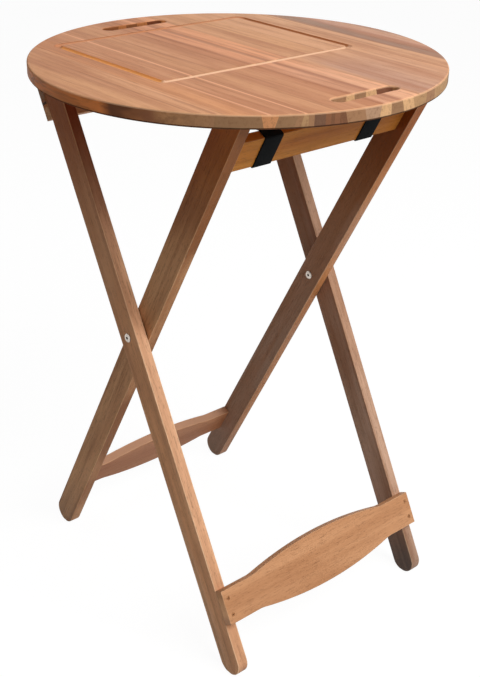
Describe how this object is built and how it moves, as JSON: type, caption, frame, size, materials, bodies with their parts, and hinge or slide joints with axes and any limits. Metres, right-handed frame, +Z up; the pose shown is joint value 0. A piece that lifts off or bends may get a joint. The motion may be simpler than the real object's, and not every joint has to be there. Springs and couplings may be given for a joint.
{
  "type": "folding barbecue table",
  "caption": "Round wooden folding barbecue table: a lift-off carving top with hand slots and a juice groove on a cross-legged stand that folds flat and is held open by webbing straps.",
  "frame": {"origin": "on the floor, under the middle of the round top", "axes": "+Z up, X along the grain of the top and across the spread of the legs, Y along the bolts that the stand folds about"},
  "size_m": [0.7, 0.7, 1.015],
  "materials": {
    "top_wood": "oiled, boards of mixed colour glued edge to edge",
    "leg_wood": "oiled, darker brown",
    "board_wood": "oiled, orange tan",
    "dowel_wood": "bare, hidden in the joints",
    "webbing": "black woven webbing",
    "steel": "bright zinc plate",
    "brassed_steel": "yellow passivated",
    "blacked_steel": "blacked"
  },
  "bodies": {
    "outer_frame": {"outer_leg_left": "leg_wood", "outer_leg_right": "leg_wood", "outer_top_rail": "board_wood", "front_stretcher": "board_wood", "rail_screw_left_upper": "brassed_steel", "rail_screw_left_lower": "brassed_steel", "rail_screw_right_upper": "brassed_steel", "rail_screw_right_lower": "brassed_steel", "stretcher_screw_left_upper": "brassed_steel", "stretcher_screw_left_lower": "brassed_steel", "stretcher_screw_right_upper": "brassed_steel", "stretcher_screw_right_lower": "brassed_steel", "pivot_bolt_left": "steel", "pivot_bolt_right": "steel", "sleeve_nut_left": "steel", "sleeve_nut_right": "steel", "pivot_washer_left": "steel", "pivot_washer_right": "steel", "strap_left": "webbing", "strap_right": "webbing", "outer_tack_left_near": "blacked_steel", "outer_tack_left_far": "blacked_steel", "outer_tack_right_near": "blacked_steel", "outer_tack_right_far": "blacked_steel"},
    "inner_frame": {"inner_leg_left": "leg_wood", "inner_leg_right": "leg_wood", "inner_top_rail": "board_wood", "rear_stretcher": "board_wood", "rail_dowel_left_upper": "dowel_wood", "rail_dowel_left_lower": "dowel_wood", "rail_dowel_right_upper": "dowel_wood", "rail_dowel_right_lower": "dowel_wood", "stretcher_dowel_left_upper": "dowel_wood", "stretcher_dowel_left_lower": "dowel_wood", "stretcher_dowel_right_upper": "dowel_wood", "stretcher_dowel_right_lower": "dowel_wood", "inner_tack_left_near": "blacked_steel", "inner_tack_left_far": "blacked_steel", "inner_tack_right_near": "blacked_steel", "inner_tack_right_far": "blacked_steel"},
    "top": {"tabletop": "top_wood"}
  },
  "joints": [
    {"name": "frame_fold", "type": "hinge", "parent": "outer_frame", "child": "inner_frame", "pos_m": [0, 0, 0.56], "axis": [0, -1, 0], "range_deg": [0, 56], "deforming": ["strap_left", "strap_right"]},
    {"name": "top_lift", "type": "slide", "parent": "outer_frame", "child": "top", "axis": [0, 0, 1], "range_m": [0, 0.345]}
  ],
  "couplings": [
    {"joint": "top_lift", "follows": "frame_fold", "m_per_rad": 0.35}
  ]
}
